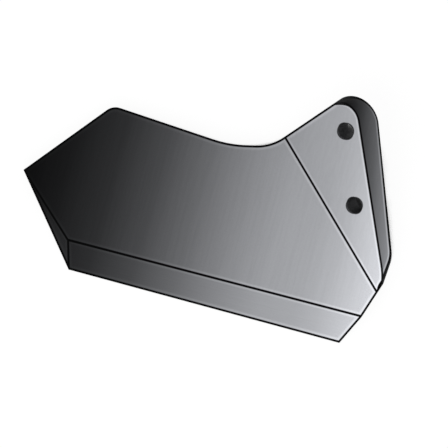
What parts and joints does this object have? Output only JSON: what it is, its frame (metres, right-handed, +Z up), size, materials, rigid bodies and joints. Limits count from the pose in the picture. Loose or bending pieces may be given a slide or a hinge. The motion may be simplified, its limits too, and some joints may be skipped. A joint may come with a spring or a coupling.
{
  "type": "cultivator wing share",
  "caption": "Bent steel plate share: flat wing with a ground cutting edge and tip, and a raised tab that bolts to a share foot.",
  "frame": {"origin": "midway between the two bolt holes, on the back face of the tab, where the share foot seats", "axes": "+X along the cutting edge from the tip to the root, +Y level, back from the cutting edge, +Z up from the flat wing, square to it"},
  "size_m": [0.2925, 0.1872, 0.0542],
  "materials": {
    "share_steel": "bare hardened plate, dark at the tip and brighter towards the tab, ground on the cutting edge and tip"
  },
  "bodies": {
    "root": {"wing_share": "share_steel"}
  },
  "joints": []
}
